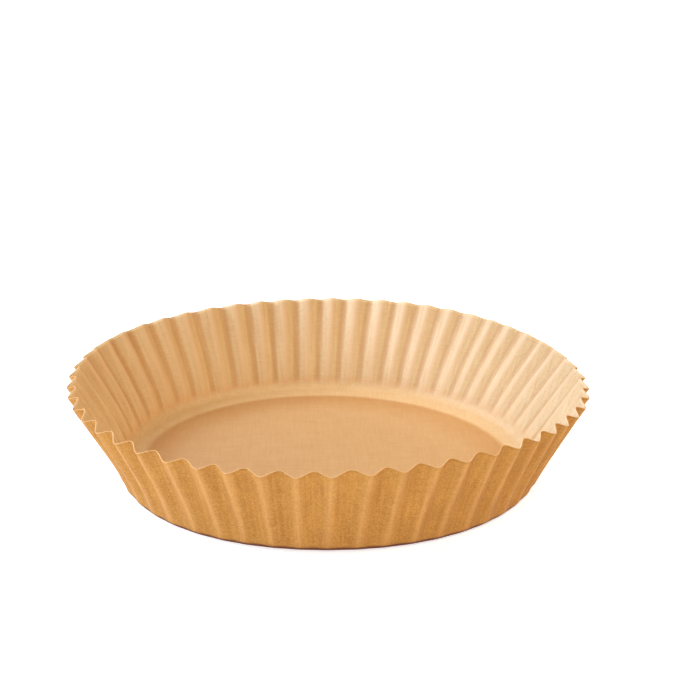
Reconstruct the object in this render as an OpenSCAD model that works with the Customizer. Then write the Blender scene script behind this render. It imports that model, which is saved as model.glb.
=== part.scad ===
// Paper baking mold: a round, shallow, pleated liner pressed from one round sheet of greaseproof paper.
// Sizes are in millimetres. The origin is the middle of the underside of the floor, and +Z is up.
// The sheet is one surface: a flat pressed floor, a smooth band that lifts a little to the foot,
// a rounded bend, and a flared wall whose pleats start shallow at the foot and are deepest at the rim.

/* [Overall] */

// Diameter across the rim, over the outward folds
rim_diameter = 200; // [185:1:240]
// Diameter of the foot, where the lines of the floor and the wall meet
base_diameter = 163; // [130:1:180]
// Height of the rim at the outward folds
rim_height = 35.5; // [20:0.5:60]

/* [Floor] */

// Width of the smooth band between the flat floor and the foot
band_width = 8; // [5:0.5:20]
// Rise of that band from the floor's edge to the foot
band_rise = 0.6; // [0.1:0.1:3]
// Radius of the bend between the band and the wall
foot_radius = 5.5; // [1:0.5:7]

/* [Pleats] */

// Number of pleats round the wall
pleat_count = 54; // [30:2:60]
// Depth of the pleats at the rim, from outward fold to inward fold, square to the wall
pleat_depth = 3; // [1:0.1:4]
// How much further up the wall the sheet's edge reaches at the inward folds
rim_scallop = 0.3; // [0:0.1:2]
// Sharpness of the folds: near 0 is a soft wave, near 1 is a crisp zigzag
fold_sharpness = 0.85; // [0.1:0.01:0.98]
// How the pleats fade towards the foot: under 1 keeps them deep for longer
pleat_fade = 0.6; // [0.4:0.05:1.5]

/* [Paper] */

// Thickness of the sheet
paper_thickness = 0.25; // [0.15:0.05:0.5]
// Colour of the unbleached paper
paper_color = "#D9A868"; // [#D9A868:Unbleached, #F4EFE4:White, #7A4B2A:Dark brown]

/* [Hidden] */

// The unpleated section: lines along the band and the wall, joined by the bend at the foot.
rim_r = rim_diameter / 2;
foot_r = base_diameter / 2;
floor_r = foot_r - band_width;
band_slope = atan2(band_rise, band_width);
wall_slope = atan2(rim_height - band_rise, rim_r - foot_r);
middle_slope = (wall_slope + band_slope) / 2;
half_turn = (wall_slope - band_slope) / 2;
bend_reach = foot_radius * tan(half_turn);
bend_start = [foot_r, band_rise] - bend_reach * along(band_slope);
bend_middle = [foot_r, band_rise] + foot_radius * (1 / cos(half_turn) - 1) * inward(middle_slope);
bend_end = [foot_r, band_rise] + bend_reach * along(wall_slope);
rim_point = [rim_r, rim_height];

// Unit vectors in the section's plane: along a line, and square to it towards the inside of the mold.
function along(slope) = [cos(slope), sin(slope)];
function inward(slope) = [-sin(slope), cos(slope)];

// The pleat wave: 0 at an outward fold and 1 at an inward fold, with rounded folds and straight flanks.
function pleat_wave(turn) = (1 - asin(fold_sharpness * cos(turn)) / asin(fold_sharpness)) / 2;

// Rings of the surface, from the floor's edge to the rim: [point of the section, slope, share of the pleats].
wall_rings = 3;
function wall_share(i) = pow(i / (wall_rings - 1), 1.4);
rings = concat(
    [[[floor_r, 0], 0, 0], [bend_start, band_slope, 0], [bend_middle, middle_slope, 0]],
    [for (i = [0 : wall_rings - 1])
        [bend_end + (rim_point - bend_end) * wall_share(i), wall_slope, pow(wall_share(i), pleat_fade)]]
);
ring_count = len(rings);

// Columns of the surface: eight to a pleat, the first one on the outward fold at the front (-Y).
columns_per_pleat = 8;
columns = pleat_count * columns_per_pleat;

// A point of the sheet. lift is 0 on the underside and the paper's thickness on the inside.
function sheet_point(ring, column, lift) =
    let (
        around = 360 * column / columns - 90,
        fold = pleat_wave(360 * column / columns_per_pleat) * ring[2],
        p = ring[0] + inward(ring[1]) * (pleat_depth * fold + lift) + along(ring[1]) * rim_scallop * fold
    )
    [p[0] * cos(around), p[0] * sin(around), p[1]];

// The number of a point: skin 0 is the underside and outside of the sheet, skin 1 is its inside.
function spot(skin, ring, column) = (skin * ring_count + ring) * columns + column % columns;

// Two triangles over four points in clockwise order, cut from fold to fold in the same way on both flanks.
function patch(a, b, c, d, rising) = rising ? [[a, b, c], [a, c, d]] : [[a, b, d], [b, c, d]];
function is_rising(column) = column % columns_per_pleat < columns_per_pleat / 2;

module baking_mold() {
    points = [
        for (skin = [0, 1], ring = rings, column = [0 : columns - 1])
            sheet_point(ring, column, skin * paper_thickness)
    ];
    outside = [
        for (r = [0 : ring_count - 2], c = [0 : columns - 1])
            each patch(spot(0, r, c), spot(0, r + 1, c), spot(0, r + 1, c + 1), spot(0, r, c + 1), is_rising(c))
    ];
    inside = [
        for (r = [0 : ring_count - 2], c = [0 : columns - 1])
            each patch(spot(1, r, c + 1), spot(1, r + 1, c + 1), spot(1, r + 1, c), spot(1, r, c), !is_rising(c))
    ];
    cut_edge = [
        for (c = [0 : columns - 1])
            each patch(
                spot(0, ring_count - 1, c), spot(1, ring_count - 1, c),
                spot(1, ring_count - 1, c + 1), spot(0, ring_count - 1, c + 1), is_rising(c))
    ];
    floor_underside = [for (c = [0 : columns - 1]) spot(0, 0, c)];
    floor_inside = [for (c = [columns - 1 : -1 : 0]) spot(1, 0, c)];
    color(paper_color)
        polyhedron(
            points = points,
            faces = concat(outside, inside, cut_edge, [floor_underside], [floor_inside]),
            convexity = 6);
}

baking_mold();
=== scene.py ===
# %% [markdown]
# # A pleated paper baking mold
#
# The real mold starts as a flat, round sheet of unbleached greaseproof paper. Two hot dies press it:
# they iron its middle flat and gather the rest into pleats round a flared wall. Nothing is glued or
# added, so this scene has one piece, the sheet, and all the work goes into its folds, its paper and
# its light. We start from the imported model, which sets the size and the place of everything.

import math
import random

import bmesh
import bpy
from mathutils import Matrix, Vector


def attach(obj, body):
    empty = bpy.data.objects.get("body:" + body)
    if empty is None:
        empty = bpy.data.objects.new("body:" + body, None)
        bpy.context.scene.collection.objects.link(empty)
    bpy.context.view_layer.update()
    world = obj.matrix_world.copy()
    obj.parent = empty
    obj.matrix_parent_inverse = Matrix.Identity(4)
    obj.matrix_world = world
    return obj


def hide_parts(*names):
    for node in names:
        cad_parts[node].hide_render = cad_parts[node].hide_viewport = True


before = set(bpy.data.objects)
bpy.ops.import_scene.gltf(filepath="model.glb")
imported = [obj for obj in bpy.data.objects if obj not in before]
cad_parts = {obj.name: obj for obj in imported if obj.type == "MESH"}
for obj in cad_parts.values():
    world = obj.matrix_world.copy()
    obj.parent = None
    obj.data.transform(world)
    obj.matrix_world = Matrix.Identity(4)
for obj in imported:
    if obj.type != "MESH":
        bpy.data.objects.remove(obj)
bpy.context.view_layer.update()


# %% [markdown]
# ## The measures
#
# Blender works in metres and people who make molds in millimetres, so one constant turns the one into
# the other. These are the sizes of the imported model: the surface below is the sheet's outside, at its
# outward folds, and the paper's thickness goes towards the inside of the mold.

# %% Measures of the mold
MM = 0.001
FLOOR_R = 73.5 * MM
FOOT_R = 81.5 * MM
BAND_RISE = 0.6 * MM
FOOT_BEND_R = 5.5 * MM
RIM_R = 100.0 * MM
RIM_Z = 35.5 * MM
PLEATS = 54
PLEAT_DEPTH = 3.0 * MM
RIM_SCALLOP = 0.3 * MM
PAPER = 0.25 * MM
WALL_SLOPE = math.atan2(RIM_Z - BAND_RISE, RIM_R - FOOT_R)
BAND_SLOPE = math.atan2(BAND_RISE, FOOT_R - FLOOR_R)
BEND_REACH = FOOT_BEND_R * math.tan((WALL_SLOPE - BAND_SLOPE) / 2)
print("wall slope:", round(math.degrees(WALL_SLOPE), 1), "degrees")
print("pleats:", round(360 / PLEATS, 2), "degrees apart")

# %% [markdown]
# ## The section
#
# A round thing is easiest to make from its section: half a slice through the mold, from the middle of
# the floor to the rim. Four points and three edges are enough to say its form. The foot's corner is
# then bevelled into the round bend that the die presses, and each edge is cut into shorter ones, most
# of them in the wall, because that is where the pleats have to bend it.

# %% Draw the section and round its foot
BEND_SEGMENTS = 8
FLOOR_CUTS = 4
BAND_CUTS = 3
WALL_CUTS = 23
PAST_BEND_R = FOOT_R + 2.0 * MM
sheet = bmesh.new()
corners = [(0, 0), (FLOOR_R, 0), (FOOT_R, BAND_RISE), (RIM_R, RIM_Z)]
points = [sheet.verts.new((0, -r, z)) for r, z in corners]
for a, b in zip(points, points[1:]):
    sheet.edges.new((a, b))
bmesh.ops.bevel(
    sheet, geom=[points[2]], offset=BEND_REACH, offset_type="OFFSET", affect="VERTICES",
    segments=BEND_SEGMENTS, profile=0.5, material=-1,
)


def cut(lowest, highest, cuts):
    """Cuts the section's edges that lie between two radii into cuts + 1 pieces each."""
    chosen = [e for e in sheet.edges if lowest <= -(e.verts[0].co.y + e.verts[1].co.y) / 2 <= highest]
    bmesh.ops.subdivide_edges(sheet, edges=chosen, cuts=cuts)


cut(0, FLOOR_R, FLOOR_CUTS)
cut(FLOOR_R, FOOT_R - BEND_REACH, BAND_CUTS)
cut(PAST_BEND_R, RIM_R, WALL_CUTS)
print("section:", len(sheet.verts), "points")

# %% [markdown]
# ## The spin
#
# A full turn of the section makes the mold without its pleats. The number of steps is a multiple of
# the number of pleats, so that every fold has a column of points on its very crest. Sixteen columns to
# a pleat are enough for rounded folds and straight flanks. The first column is at the front, on -Y.

# %% Spin the section
COLUMNS_PER_PLEAT = 16
MERGE_DISTANCE = 0.01 * MM
bmesh.ops.spin(
    sheet, geom=sheet.verts[:] + sheet.edges[:], cent=(0, 0, 0), axis=(0, 0, 1),
    angle=math.tau, steps=COLUMNS_PER_PLEAT * PLEATS, use_merge=True,
)
bmesh.ops.remove_doubles(sheet, verts=sheet.verts, dist=MERGE_DISTANCE)
bmesh.ops.recalc_face_normals(sheet, faces=sheet.faces)
lowest_face = min(sheet.faces, key=lambda f: f.calc_center_median().z)
if lowest_face.normal.z > 0:
    bmesh.ops.reverse_faces(sheet, faces=sheet.faces)
print("spun:", len(sheet.verts), "points,", len(sheet.faces), "faces")

# %% [markdown]
# ## The wave of a pleat
#
# A pleat is a wave round the wall. A plain sine looks like rubber and a pure zigzag like sheet metal.
# Creased paper is between the two, with straight flanks and rounded folds, and the arc sine of a
# slightly shortened sine gives just that. Where the wave is at 0, on an outward fold, the wall stays
# where it is, and where it is at 1, on an inward fold, it moves by the pleat's depth, square to the
# wall.
#
# The pleats begin in the upper part of the foot's bend. They deepen fast at first and then more slowly
# up to the rim, and the band below them only ripples a little.

# %% The wave, and how it starts
FOLD_SHARPNESS = 0.7
PLEATS_BELOW_WALL = 3.0 * MM
PLEAT_START = 0.08
PLEAT_FADE = 0.55
BAND_RIPPLE = 0.03


def ease(share):
    """A share from 0 to 1 that starts and ends smoothly."""
    return share * share * (3 - 2 * share)


def pleat_wave(turn):
    """0 on an outward fold and 1 on an inward fold, for a turn that is counted in pleats."""
    k = FOLD_SHARPNESS
    return (1 - math.asin(k * math.cos(math.tau * turn)) / math.asin(k)) / 2


# %% [markdown]
# ## The unevenness
#
# Pressed paper is never quite even. The quick part of this is a small change for each pleat, from
# seeded random numbers: some folds stand closer together and some are deeper. The slow part is a few
# waves round the mold, fitted to the folds, the rim and the foot that the photograph shows.
#
# Each slow part starts with its mean. Then come pairs, the cosine and the sine share of one wave a
# turn, then of two waves a turn, and so on. Widths, heights and depths are in millimetres, and twists,
# which move the folds round the mold, are in radians. The flare sets the whole foot further out. The
# hollow lets the wall sink inwards between the foot and the rim, by a seventh of its number at most.

# %% Slow waves, and changes from pleat to pleat
EXTRA_DEPTH = (0.0, (0.4, -0.2), (-0.6, 0.0))
RIM_OUT = (0.0, (0.5, -0.9), (0.0, -0.3), (0.0, -0.5))
RIM_UP = (0.0, (-0.6, 0.22), (0.6, 0.3), (0.0, 0.72))
RIM_TWIST = (-0.039, (0.037, -0.002), (-0.005, -0.004), (0.01, 0.009), (0.0, -0.001), (-0.008, 0.0))
FOOT_OUT = (0.35, (0.65, -0.15), (1.2, -0.5), (0.2, -0.55), (-0.6, -0.15), (-0.25, 0.2))
FOOT_TWIST = (-0.012, (0.017, 0.06), (-0.026, -0.014), (0.013, -0.014), (-0.003, -0.003), (-0.008, 0.0))
FOOT_FLARE = 0.5
HOLLOW = (3.0, (0.0, -2.2))
SHIFT_RANGE = (-0.05, 0.05)
DEPTH_RANGE = (0.93, 1.07)
chance = random.Random(54)
fold_shift = [chance.uniform(*SHIFT_RANGE) for _ in range(PLEATS)]
fold_depth = [chance.uniform(*DEPTH_RANGE) for _ in range(PLEATS)]


def between(values, turn):
    """The values of neighbouring pleats, blended smoothly at a turn that is counted in pleats."""
    low = math.floor(turn)
    share = ease(turn - low)
    return values[low % PLEATS] * (1 - share) + values[(low + 1) % PLEATS] * share


def slow(angle, mean, *waves):
    """A slow part at an angle: its mean, plus its cosine and sine shares of 1, 2, 3 ... waves a turn."""
    shares = [c * math.cos(n * angle) + s * math.sin(n * angle) for n, (c, s) in enumerate(waves, 1)]
    return mean + sum(shares)


# %% [markdown]
# ## The folding
#
# Every point of the sheet outside the flat floor is moved. Three shares say where it is: wall_share
# goes from 0 at the top of the bend to 1 at the rim, pleat_share does the same but starts where the
# pleats do, and off_floor goes from 0 at the floor's edge to 1 at the bend. The shaders need to know
# where the folds are too, so the wave and the pleat share are stored with each point.

# %% Fold the pleats
up_wall = Vector((math.cos(WALL_SLOPE), math.sin(WALL_SLOPE)))
into_mold = Vector((-math.sin(WALL_SLOPE), math.cos(WALL_SLOPE)))
bend_top = Vector((FOOT_R, BAND_RISE)) + BEND_REACH * up_wall
wall_length = (Vector((RIM_R, RIM_Z)) - bend_top).length
fold_layer = sheet.verts.layers.float.new("fold")
height_layer = sheet.verts.layers.float.new("up_wall")
for v in sheet.verts:
    r = math.hypot(v.co.x, v.co.y)
    if r < FLOOR_R:
        continue
    angle = math.atan2(v.co.x, -v.co.y)
    p = Vector((r, v.co.z))
    along = (p - bend_top).dot(up_wall)
    wall_share = min(max(along / wall_length, 0), 1)
    pleat_share = (along + PLEATS_BELOW_WALL) / (wall_length + PLEATS_BELOW_WALL)
    pleat_share = min(max(pleat_share, 0), 1)
    off_floor = min((r - FLOOR_R) / (FOOT_R - BEND_REACH - FLOOR_R), 1)

    turn = angle / math.tau * PLEATS
    turn += between(fold_shift, turn)
    wave = pleat_wave(turn)
    growth = pleat_share ** PLEAT_FADE * ease(min(pleat_share / PLEAT_START, 1))
    growth = max(growth, BAND_RIPPLE * off_floor * off_floor)
    depth = wave * growth * between(fold_depth, turn)
    full_depth = PLEAT_DEPTH + MM * slow(angle, *EXTRA_DEPTH)
    p += into_mold * (full_depth * depth) + up_wall * (RIM_SCALLOP * depth)

    foot_share = 1 - wall_share
    hollow = slow(angle, *HOLLOW) * wall_share * foot_share ** 2
    p.x += MM * wall_share * slow(angle, *RIM_OUT)
    p.x += MM * off_floor * foot_share * slow(angle, *FOOT_OUT)
    p.x += MM * off_floor * (FOOT_FLARE * foot_share ** 3 - hollow)
    p.y += MM * wall_share * slow(angle, *RIM_UP)
    angle += off_floor * (foot_share * slow(angle, *FOOT_TWIST) + wall_share * slow(angle, *RIM_TWIST))
    v.co = (p.x * math.sin(angle), -p.x * math.cos(angle), p.y)
    v[fold_layer] = wave
    v[height_layer] = pleat_share

# %% [markdown]
# ## The thickness
#
# The mesh so far is a skin with no thickness. Solidify gives it the paper's, towards the inside, and
# closes the cut edge at the rim. The rim gets a paler material of its own: cut paper shows its core there,
# and the paleness is partly a painted highlight along the rim.

# %% Make the sheet an object
for f in sheet.faces:
    f.smooth = True
sheet_mesh = bpy.data.meshes.new("baking_mold_paper")
sheet.to_mesh(sheet_mesh)
sheet.free()
paper_mold = bpy.data.objects.new("baking_mold_paper", sheet_mesh)
bpy.context.scene.collection.objects.link(paper_mold)
thickness = paper_mold.modifiers.new("Paper thickness", "SOLIDIFY")
thickness.thickness = PAPER
thickness.offset = -1
thickness.use_even_offset = True
thickness.material_offset = 1
thickness.material_offset_rim = 2
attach(paper_mold, "root")
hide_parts("baking_mold")
print("sheet:", len(sheet_mesh.polygons), "faces")

# %% [markdown]
# ## A way to write shader maths
#
# A material is a graph of nodes, and a graph is hard to read in code. This small class wraps one
# socket, so that sums on sockets add the Math nodes, and one method adds any other node.

# %% A socket that can be added and multiplied


class Wire:
    """One output socket of the material that is being made."""

    tree = None

    def __init__(self, socket):
        self.socket = socket

    @classmethod
    def node(cls, kind, settings=None, sockets=None, output=0):
        """Adds a node of a kind, makes its settings first, then sets or links its sockets."""
        made = cls.tree.nodes.new(kind)
        for name, value in (settings or {}).items():
            setattr(made, name, value)
        for name, value in (sockets or {}).items():
            if isinstance(value, Wire):
                cls.tree.links.new(value.socket, made.inputs[name])
            else:
                made.inputs[name].default_value = value
        return cls(made.outputs[output]) if made.outputs else None

    def math(self, operation, *values):
        """A Math node on some values. Those that are plain numbers are set and not linked."""
        sockets = {i: v for i, v in enumerate(values)}
        return Wire.node("ShaderNodeMath", {"operation": operation}, sockets)

    def __add__(self, other):
        return self.math("ADD", self, other)

    __radd__ = __add__

    def __sub__(self, other):
        return self.math("SUBTRACT", self, other)

    def __rsub__(self, other):
        return self.math("SUBTRACT", other, self)

    def __mul__(self, other):
        return self.math("MULTIPLY", self, other)

    __rmul__ = __mul__

    def __truediv__(self, other):
        return self.math("DIVIDE", self, other)

    def step(self, low, high):
        """0 below low and 1 above high, with a smooth rise between them."""
        sockets = {"Value": self, "From Min": low, "From Max": high}
        return Wire.node("ShaderNodeMapRange", {"interpolation_type": "SMOOTHSTEP"}, sockets)

    def mix(self, a, b):
        """Colour a where this is 0 and colour b where it is 1."""
        return Wire.node("ShaderNodeMix", {"data_type": "RGBA"}, {0: self, 6: a, 7: b}, 2)


def colour(red, green, blue):
    """An sRGB colour, as picked from a screen with 0 to 255, in Blender's linear values."""
    values = [c / 255 for c in (red, green, blue)]
    return (*[c / 12.92 if c <= 0.04045 else ((c + 0.055) / 1.055) ** 2.4 for c in values], 1)


def start_material(name):
    """A new, empty material, with Wire ready to add nodes to it."""
    material = bpy.data.materials.new(name)
    material.use_nodes = True
    material.node_tree.nodes.clear()
    Wire.tree = material.node_tree
    return material


def noise(place, size_mm, detail, stretch=(1, 1, 1), roughness=0.6):
    """Noise from -1 to 1 or so, with features of a size in millimetres, longer where stretch is large."""
    scale = tuple(1 / s for s in stretch)
    where = Wire.node("ShaderNodeMapping", {}, {"Vector": place, "Scale": scale})
    sockets = {"Vector": where, "Scale": 1000 / size_mm, "Detail": detail, "Roughness": roughness}
    return Wire.node("ShaderNodeTexNoise", {}, sockets) * 2 - 1


def split(vector):
    """The three numbers of a vector."""
    made = Wire.tree.nodes.new("ShaderNodeSeparateXYZ")
    Wire.tree.links.new(vector.socket, made.inputs[0])
    return [Wire(s) for s in made.outputs]


def tint(share, base, shade):
    """Multiplies a colour by a shade, as far as share goes from 0 to 1."""
    settings = {"data_type": "RGBA", "blend_type": "MULTIPLY"}
    return Wire.node("ShaderNodeMix", settings, {0: share, 6: base, 7: shade}, 2)


# %% [markdown]
# ## The paper
#
# Unbleached greaseproof paper is cooked wood fibre. Close by it is not one brown: fibres lie as pale
# and dark flecks about half a millimetre wide, clouds of pulp some millimetres across are a shade
# lighter or darker, and the wire that the pulp dried on leaves faint lines both ways. Patterns are
# read from Object coordinates, so they have real sizes.
#
# Pressing adds fine streaks that run up the wall. Their noise is read on a ring, in the direction of
# the point, with the height shortened. So they follow the flare of the wall, and are about twenty
# times as long as they are wide.
#
# The two faces differ. The outside is the raw face, with coarse flecks, and its deep golden brown is
# partly the paper's own and partly painted shade, because the outside stands mostly in shade. The inside
# is the smooth, greaseproof face, with a soft shine, and it is paler, partly as painted light on the lit
# side.

# %% Browns and patterns
# The raw browns are darker than the smooth ones partly as painted shade: the outside is the shaded side
# and the inside the lit one.
RAW_DARK_SHADED = colour(165, 112, 38)
RAW_LIGHT_SHADED = colour(203, 155, 72)
SMOOTH_DARK_LIT = colour(229, 198, 142)
SMOOTH_LIGHT_LIT = colour(247, 235, 189)
# The cut edge's browns are pale partly as a painted highlight along the rim.
CORE_DARK_HIGHLIT = colour(212, 162, 104)
CORE_LIGHT_HIGHLIT = colour(232, 190, 134)
FLECK_MM = 0.6
WIRE_MM = 0.8
WIRE_STRETCH = 14
WIRE_SHARE = 0.4
CLOUD_MM = 9
CLOUD_SHARE = 0.25
STREAK_MM = 1.1
STREAK_STRETCH = 20
STREAK_SHARE = 0.7
STREAK_RING_R = 90 * MM
BUMP_HEIGHT = 0.06 * MM
BUMP_STRENGTH = 0.25
BUMP_OF_WIRES = 0.3
PLEAT_MARKS_FULL = 0.15

# %% [markdown]
# ## The marks inside
#
# Inside, the valleys between the pleats are darker, as painted shade, and the folds that stand out towards
# the middle are paler, partly worn pale and partly a painted highlight. Both fade in where the pleats
# start.
# The ironed floor is painted darker and browner, as painted shade, a little less so in its middle, and
# this painted shade ends softly where the band begins. The shaded disc sits a little to the left. The bare
# stretch between floor and pleats is a touch warmer than the wall, as painted warm light.

# %% Marks of the smooth face
VALLEY_END = 0.4
VALLEY_DARKENING = 0.5
VALLEY_PAINTED_SHADE = colour(214, 180, 140)
CREASE_START = 0.7
CREASE_PALING = 0.6
PALE_CREASE_WORN_AND_LIT = colour(246, 222, 178)
FOOT_PAINTED_WARM_LIGHT_END = 0.2
FOOT_PAINTED_WARM_LIGHT = colour(255, 240, 228)
FLOOR_SHIFT = 0.6 * MM
FLOOR_MARK_R = 71.0 * MM
FLOOR_MARK_END_R = 74.6 * MM
FLOOR_MIDDLE_R = 0.7 * FLOOR_R
FLOOR_MIDDLE_SHADE_SHARE = 0.65
FLOOR_PAINTED_SHADE = colour(228, 202, 170)


def mark_inside(base, fold, up_pleats, on_pleats, radius):
    """The smooth face's colour with painted shade in its valleys, creases that are partly worn and partly
    a painted highlight, painted warm light at its foot and painted shade on its floor.
    """
    # Painted shade in the valleys between the pleats.
    valley = (1 - fold.step(0.0, VALLEY_END)) * on_pleats
    base = tint(valley * VALLEY_DARKENING, base, VALLEY_PAINTED_SHADE)
    # The folds that stand out are paler: partly worn, partly a painted highlight.
    crease = fold.step(CREASE_START, 1.0) * on_pleats
    base = (crease * CREASE_PALING).mix(base, PALE_CREASE_WORN_AND_LIT)
    # A warmer tint on the bend and band, as painted warm light.
    base = tint(1 - up_pleats.step(0.0, FOOT_PAINTED_WARM_LIGHT_END), base, FOOT_PAINTED_WARM_LIGHT)
    # Painted shade on the floor, darker towards its edge, where the wall's shadow falls.
    on_floor = 1 - radius.step(FLOOR_MARK_R, FLOOR_MARK_END_R)
    off_middle = radius.step(FLOOR_MIDDLE_R, FLOOR_R)
    floor_shade_share = FLOOR_MIDDLE_SHADE_SHARE + off_middle * (1 - FLOOR_MIDDLE_SHADE_SHARE)
    return tint(on_floor * floor_shade_share, base, FLOOR_PAINTED_SHADE)


# %% [markdown]
# ## The marks outside
#
# Outside, the folds that stand out are paler, in a soft band with a fine line in its middle: partly rubbed
# pale and partly a painted highlight. The underside and the lowest two or three millimetres of the foot
# are painted much darker and browner, as painted shade where the foot meets the table. Seen from the side,
# this is a thin dark line round the foot.

# %% Marks of the raw face
CREST_BAND = 0.45
CREST_BAND_SHARE = 0.6
CREST_LINE = 0.1
CREST_PALING = 0.23
PALE_CREST_WORN_AND_LIT = colour(240, 192, 124)
FOOT_SHADE_Z = 2.2 * MM
FOOT_SHADE_END_Z = 3.4 * MM
FOOT_PAINTED_SHADE = colour(140, 92, 46)


def mark_outside(base, fold, on_pleats, z):
    """The raw face's colour with its pale folds, partly worn and partly a painted highlight, and the
    painted shade on its foot and underside.
    """
    # The folds that stand out are paler: partly rubbed, partly a painted highlight.
    beside_band = fold.step(0.0, CREST_BAND)
    beside_line = fold.step(0.0, CREST_LINE)
    crest = 1 - beside_band * CREST_BAND_SHARE - beside_line * (1 - CREST_BAND_SHARE)
    base = (crest * on_pleats * CREST_PALING).mix(base, PALE_CREST_WORN_AND_LIT)
    # Painted shade on the foot and underside, where the foot meets the table.
    return tint(1 - z.step(FOOT_SHADE_Z, FOOT_SHADE_END_Z), base, FOOT_PAINTED_SHADE)


# %% [markdown]
# ## The two faces
#
# Thin paper lets light through, and browner on the way. That is why the shaded outside of a lit mold
# glows orange. The Translucent shader does this, mixed with the usual surface. One function makes both
# faces, and the cut edge at the rim is plain flecked paper, pale partly as a painted highlight.

# %% Both faces and the cut edge
THROUGH = 0.3
GLOW_SHADE = colour(255, 224, 160)


def paper_face(name, dark, light, fleck, roughness, is_inside):
    """One face of the sheet, between a dark and a light brown, with flecks of some strength."""
    material = start_material(name)
    place = Wire.node("ShaderNodeTexCoord", output=3)
    fold = Wire.node("ShaderNodeAttribute", {"attribute_name": "fold"}, output=2)
    up_pleats = Wire.node("ShaderNodeAttribute", {"attribute_name": "up_wall"}, output=2)
    on_pleats = up_pleats.step(0.0, PLEAT_MARKS_FULL)
    x, y, z = split(place)
    x = x + FLOOR_SHIFT
    radius = x.math("SQRT", x * x + y * y)

    flecks = noise(place, FLECK_MM, 3, roughness=0.7)
    clouds = noise(place, CLOUD_MM, 2)
    wires = noise(place, WIRE_MM, 2, (WIRE_STRETCH, 1, 1)) + noise(place, WIRE_MM, 2, (1, WIRE_STRETCH, 1))
    on_ring = Wire.node("ShaderNodeCombineXYZ", {}, {
        "X": x / radius * STREAK_RING_R,
        "Y": y / radius * STREAK_RING_R,
        "Z": z / STREAK_STRETCH,
    })
    streaks = noise(on_ring, STREAK_MM, 2) * on_pleats
    tone = flecks * fleck + clouds * CLOUD_SHARE + wires * WIRE_SHARE + streaks * STREAK_SHARE
    base = (tone * 0.5 + 0.5).step(0.0, 1.0).mix(dark, light)
    if is_inside:
        base = mark_inside(base, fold, up_pleats, on_pleats, radius)
    else:
        base = mark_outside(base, fold, on_pleats, z)

    heights = flecks + wires * BUMP_OF_WIRES + streaks
    bump = Wire.node("ShaderNodeBump", {}, {
        "Strength": BUMP_STRENGTH, "Distance": BUMP_HEIGHT, "Height": heights,
    })
    surface = Wire.node("ShaderNodeBsdfPrincipled", {}, {
        "Base Color": base, "Roughness": roughness, "Specular IOR Level": 0.5, "Normal": bump,
    })
    glow = Wire.node("ShaderNodeBsdfTranslucent", {}, {"Color": tint(1, base, GLOW_SHADE)})
    both = Wire.node("ShaderNodeMixShader", {}, {0: THROUGH, 1: surface, 2: glow})
    Wire.node("ShaderNodeOutputMaterial", {}, {"Surface": both})
    return material


# The outside gets the darker browns, partly painted shade, and the inside the paler ones, partly painted
# light.
outside = paper_face("raw_face", RAW_DARK_SHADED, RAW_LIGHT_SHADED, fleck=1.6, roughness=0.75, is_inside=False)
inside = paper_face("smooth_face", SMOOTH_DARK_LIT, SMOOTH_LIGHT_LIT, fleck=0.5, roughness=0.5, is_inside=True)

# The cut edge: flecked paper, pale partly as a painted highlight along the rim.
cut_edge = start_material("cut_edge")
edge_flecks = noise(Wire.node("ShaderNodeTexCoord", output=3), FLECK_MM, 2)
edge_base = (edge_flecks * 0.5 + 0.5).mix(CORE_DARK_HIGHLIT, CORE_LIGHT_HIGHLIT)
edge_surface = Wire.node("ShaderNodeBsdfPrincipled", {}, {"Base Color": edge_base, "Roughness": 0.8})
Wire.node("ShaderNodeOutputMaterial", {}, {"Surface": edge_surface})

for material in (outside, inside, cut_edge):
    sheet_mesh.materials.append(material)

# %% [markdown]
# ## The table
#
# The mold stands on a plain white table. The table glows, a little less close to the mold, so that the
# background is pure white and the shade round the foot can still be seen. The two glow distances are
# squared, because a squared distance needs no root.

# %% Table
NEAR_GLOW = (0.72, 0.72, 0.72, 1)
FAR_GLOW = (1, 1, 1, 1)
NEAR_SQUARED = 0.04
FAR_SQUARED = 0.5
TABLE_SIZE = 12
TABLE_Z = -0.02 * MM
table_white = start_material("white_table")
table_x, table_y, _ = split(Wire.node("ShaderNodeTexCoord", output=3))
far_share = (table_x * table_x + table_y * table_y).step(NEAR_SQUARED, FAR_SQUARED)
table_surface = Wire.node("ShaderNodeBsdfPrincipled", {}, {
    "Base Color": (0.9, 0.9, 0.9, 1),
    "Roughness": 0.9,
    "Emission Color": far_share.mix(NEAR_GLOW, FAR_GLOW),
    "Emission Strength": 1.0,
})
Wire.node("ShaderNodeOutputMaterial", {}, {"Surface": table_surface})
bpy.ops.mesh.primitive_plane_add(size=TABLE_SIZE, location=(0, 0, TABLE_Z))
table = bpy.context.object
table.name = "table"
table.data.materials.append(table_white)

# %% [markdown]
# ## The light
#
# Soft lamps stand in a ring round the mold. Those on the left and behind are cool, and those on the
# right are warm, because the mold's two sides differ a little in colour. The low one on the left is
# the strongest.

# %% Lights
ROOM_LIGHT = 0.04
LAMP_SIZE = 0.5
LAMP_DISTANCE = 1.2
LAMP_TARGET = Vector((0, 0, 0.02))
COOL = (0.9, 0.99, 1.24)
WARM = (1.27, 0.99, 0.71)
world = bpy.data.worlds.new("room")
bpy.context.scene.world = world
world.use_nodes = True
world.node_tree.nodes["Background"].inputs["Color"].default_value = (1, 1, 1, 1)
world.node_tree.nodes["Background"].inputs["Strength"].default_value = ROOM_LIGHT


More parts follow.
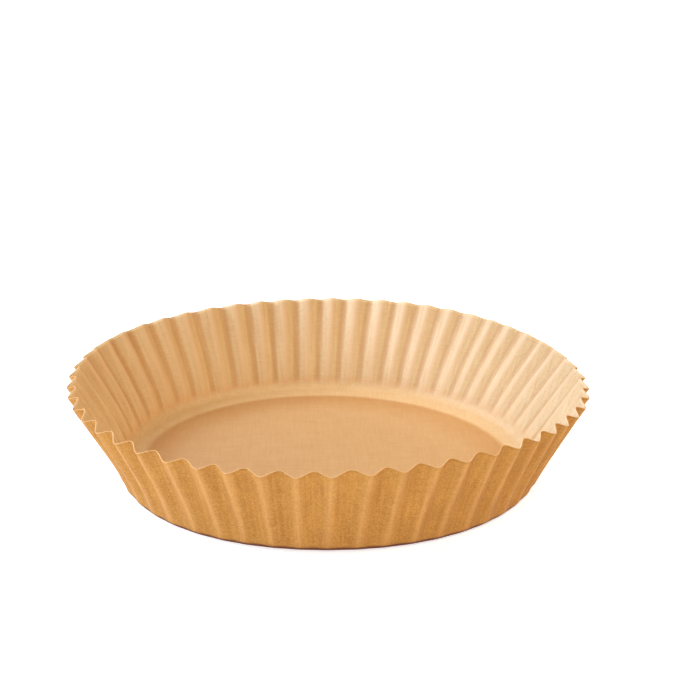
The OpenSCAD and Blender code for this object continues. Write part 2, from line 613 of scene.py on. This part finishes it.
def softbox(name, turn, height, power, tone=(1, 1, 1)):
    """A soft lamp aimed at the mold: turn is from the front towards the right, both angles in degrees."""
    a, e = math.radians(turn), math.radians(height)
    direction = Vector((math.sin(a) * math.cos(e), -math.cos(a) * math.cos(e), math.sin(e)))
    light = bpy.data.lights.new(name, "AREA")
    light.size = LAMP_SIZE
    light.energy = power
    light.color = tone
    lamp = bpy.data.objects.new(name, light)
    lamp.location = LAMP_DISTANCE * direction
    lamp.rotation_euler = (LAMP_TARGET - LAMP_DISTANCE * direction).to_track_quat("-Z", "Y").to_euler()
    bpy.context.scene.collection.objects.link(lamp)


softbox("left_behind", -120, 45, 4.6, COOL)
softbox("back", -150, 45, 3.4, COOL)
softbox("left_low", -85, 20, 8.2, COOL)
softbox("left", -90, 45, 4.4, COOL)
softbox("front", -25, 20, 4.2)
softbox("right_front", 45, 45, 4.0, WARM)
softbox("right", 100, 65, 5.5, WARM)
bpy.context.scene.view_settings.view_transform = "Standard"

# %% [markdown]
# ## The camera
#
# The camera is about 0.6 m away and looks down at the front of the mold at about 23 degrees. It aims
# a little above the rim and to the right, and it is rolled by about a degree, as the photograph is.

# %% Camera
CAMERA_LENS = 76.6
CAMERA_SENSOR = 36
CAMERA_DISTANCE = 0.5893
CAMERA_HEIGHT = math.radians(22.63)
CAMERA_TURN = -0.0193
CAMERA_AIM = Vector((0.0074, 0, 0.0458))
CAMERA_ROLL = math.radians(0.97)
camera = bpy.data.cameras.new("camera")
camera.lens = CAMERA_LENS
camera.sensor_width = CAMERA_SENSOR
camera.clip_start = 0.01
eye = bpy.data.objects.new("camera", camera)
turn_round = Matrix.Rotation(CAMERA_TURN, 3, "Z")
eye_direction = Vector((0, -math.cos(CAMERA_HEIGHT), math.sin(CAMERA_HEIGHT)))
eye_place = turn_round @ (CAMERA_DISTANCE * eye_direction)
looking = (turn_round @ CAMERA_AIM - eye_place).to_track_quat("-Z", "Y").to_matrix()
rolled = looking @ Matrix.Rotation(CAMERA_ROLL, 3, "Z")
eye.matrix_world = Matrix.Translation(eye_place) @ rolled.to_4x4()
bpy.context.scene.collection.objects.link(eye)
bpy.context.scene.camera = eye

# %% Finish
bpy.context.view_layer.update()
